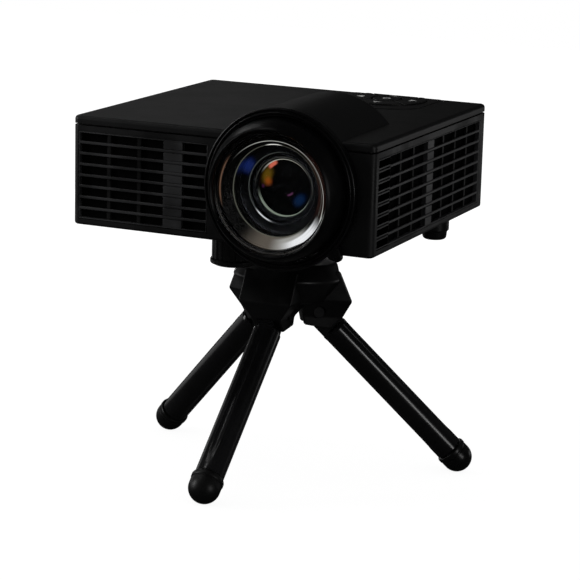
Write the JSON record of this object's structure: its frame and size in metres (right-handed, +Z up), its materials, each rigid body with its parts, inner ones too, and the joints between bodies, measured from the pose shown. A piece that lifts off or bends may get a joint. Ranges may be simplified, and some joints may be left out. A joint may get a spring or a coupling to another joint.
{
  "type": "video projector",
  "caption": "Palm-size video projector with a large offset lens, slatted side grilles and a key pad, standing on a folding mini tripod with a ball head.",
  "frame": {"origin": "The point on the table under the middle of the whole object's box, with the tripod's feet on z = 0.", "axes": "+X is the projector's right seen from the front, +Y is away from the lens towards the back panel, +Z is up. The lens looks towards -Y."},
  "size_m": [0.1282, 0.1224, 0.1401],
  "materials": {
    "shell_plastic": "fine matt black moulded plastic",
    "grille_plastic": "satin black moulded bars",
    "lens_plastic": "semi-gloss black plastic",
    "key_plastic": "satin black key plastic",
    "stand_plastic": "satin black plastic of the tripod's hub and head",
    "leg_plastic": "smooth semi-gloss black leg",
    "rubber": "soft black rubber",
    "lens_glass": "coated lens glass",
    "bright_metal": "bright turned metal inside the lens",
    "engine_housing": "dark moulded housing of the optical engine",
    "aluminium": "extruded aluminium",
    "steel": "plated steel",
    "brass": "turned brass",
    "circuit_board": "green circuit board"
  },
  "bodies": {
    "tripod_base": {"tripod_hub": "stand_plastic", "leg_pin_front": "steel", "leg_pin_right": "steel", "leg_pin_left": "steel"},
    "front_leg": {"leg_front": "leg_plastic", "rubber_foot_front": "rubber"},
    "right_leg": {"leg_right": "leg_plastic", "rubber_foot_right": "rubber"},
    "left_leg": {"leg_left": "leg_plastic", "rubber_foot_left": "rubber"},
    "head_cup": {"ball_cup": "stand_plastic"},
    "head_collar": {"lock_collar": "stand_plastic"},
    "head_ball": {"ball": "steel"},
    "projector": {"tripod_platform": "stand_plastic", "platform_pad": "rubber", "tripod_screw": "steel", "tripod_bush": "brass", "bottom_case": "shell_plastic", "top_cover": "shell_plastic", "front_grille": "grille_plastic", "right_grille": "grille_plastic", "left_grille": "grille_plastic", "rear_panel": "shell_plastic", "case_screw_left_front": "steel", "case_screw_left_rear": "steel", "case_screw_right_front": "steel", "case_screw_right_rear": "steel", "keypad_bezel": "key_plastic", "key_board": "circuit_board", "main_board": "circuit_board", "board_screw_left": "steel", "board_screw_right": "steel", "hdmi_socket": "steel", "usb_socket": "steel", "audio_jack": "lens_plastic", "power_jack": "lens_plastic", "remote_window": "lens_plastic", "optical_engine": "engine_housing", "imaging_chip": "circuit_board", "heat_sink": "aluminium", "fan_frame": "lens_plastic", "rear_foot_left": "rubber", "rear_foot_right": "rubber"},
    "focus_control": {"focus_ring": "lens_plastic"},
    "lens_barrel": {"lens_nose": "lens_plastic", "front_lens": "lens_glass", "reflector_cone": "bright_metal", "lens_tube": "lens_plastic", "middle_lens": "lens_glass", "inner_lens": "lens_glass", "aperture_ring": "bright_metal"},
    "right_key": {"key_right": "key_plastic"},
    "left_key": {"key_left": "key_plastic"},
    "up_key": {"key_up": "key_plastic"},
    "down_key": {"key_down": "key_plastic"},
    "enter_key": {"key_enter": "key_plastic"},
    "power_key": {"key_power": "key_plastic"},
    "foot_thread": {"front_foot_stem": "steel"},
    "foot_knob": {"front_foot_knob": "rubber"},
    "fan": {"fan_rotor": "lens_plastic"}
  },
  "joints": [
    {"name": "front_leg_fold", "type": "hinge", "parent": "tripod_base", "child": "front_leg", "pos_m": [0.00209, 0.00263, 0.05881], "axis": [0.9989, 0.0471, 0], "range_deg": [0, 46.6]},
    {"name": "right_leg_fold", "type": "hinge", "parent": "tripod_base", "child": "right_leg", "pos_m": [0.01083, 0.01956, 0.05881], "axis": [-0.5402, 0.8415, 0], "range_deg": [0, 46.6]},
    {"name": "left_leg_fold", "type": "hinge", "parent": "tripod_base", "child": "left_leg", "pos_m": [-0.0082, 0.01866, 0.05881], "axis": [-0.4587, -0.8886, 0], "range_deg": [0, 46.6]},
    {"name": "head_pan", "type": "hinge", "parent": "tripod_base", "child": "head_cup", "pos_m": [0.00158, 0.01362, 0.077], "axis": [0, 0, 1], "continuous": true},
    {"name": "collar_turn", "type": "hinge", "parent": "head_cup", "child": "head_collar", "pos_m": [0.00158, 0.01362, 0.07891], "axis": [0, 0, 1], "range_deg": [0, 120]},
    {"name": "ball_roll", "type": "hinge", "parent": "head_cup", "child": "head_ball", "pos_m": [0.00158, 0.01362, 0.08261], "axis": [0, 0.9962, 0.0872], "range_deg": [-15, 15]},
    {"name": "ball_tilt", "type": "hinge", "parent": "head_ball", "child": "projector", "pos_m": [0.00158, 0.01362, 0.08261], "axis": [1, 0, 0], "range_deg": [-25, 15]},
    {"name": "focus_turn", "type": "hinge", "parent": "projector", "child": "focus_control", "pos_m": [0.02408, -0.04943, 0.10911], "axis": [0, 0.9962, 0.0872], "range_deg": [-25, 25]},
    {"name": "lens_travel", "type": "slide", "parent": "projector", "child": "lens_barrel", "axis": [0, -0.9962, -0.0872], "range_m": [-0.0006, 0.0006]},
    {"name": "right_key_press", "type": "slide", "parent": "projector", "child": "right_key", "axis": [0, 0.0872, -0.9962], "range_m": [0, 0.0006], "stiffness_N_per_m": 300},
    {"name": "left_key_press", "type": "slide", "parent": "projector", "child": "left_key", "axis": [0, 0.0872, -0.9962], "range_m": [0, 0.0006], "stiffness_N_per_m": 300},
    {"name": "up_key_press", "type": "slide", "parent": "projector", "child": "up_key", "axis": [0, 0.0872, -0.9962], "range_m": [0, 0.0006], "stiffness_N_per_m": 300},
    {"name": "down_key_press", "type": "slide", "parent": "projector", "child": "down_key", "axis": [0, 0.0872, -0.9962], "range_m": [0, 0.0006], "stiffness_N_per_m": 300},
    {"name": "enter_key_press", "type": "slide", "parent": "projector", "child": "enter_key", "axis": [0, 0.0872, -0.9962], "range_m": [0, 0.0006], "stiffness_N_per_m": 300},
    {"name": "power_key_press", "type": "slide", "parent": "projector", "child": "power_key", "axis": [0, 0.0872, -0.9962], "range_m": [0, 0.0006], "stiffness_N_per_m": 300},
    {"name": "foot_travel", "type": "slide", "parent": "projector", "child": "foot_thread", "axis": [0, 0.0872, -0.9962], "range_m": [0, 0.005]},
    {"name": "foot_turn", "type": "hinge", "parent": "foot_thread", "child": "foot_knob", "pos_m": [0.00078, -0.03181, 0.08205], "axis": [0, -0.0872, 0.9962], "range_deg": [0, 1440]},
    {"name": "fan_spin", "type": "hinge", "parent": "projector", "child": "fan", "pos_m": [-0.04482, -0.00062, 0.10992], "axis": [1, 0, 0], "continuous": true}
  ],
  "couplings": [
    {"joint": "focus_turn", "follows": "lens_travel", "rad_per_m": 727.2},
    {"joint": "foot_turn", "follows": "foot_travel", "rad_per_m": 5026.5}
  ]
}
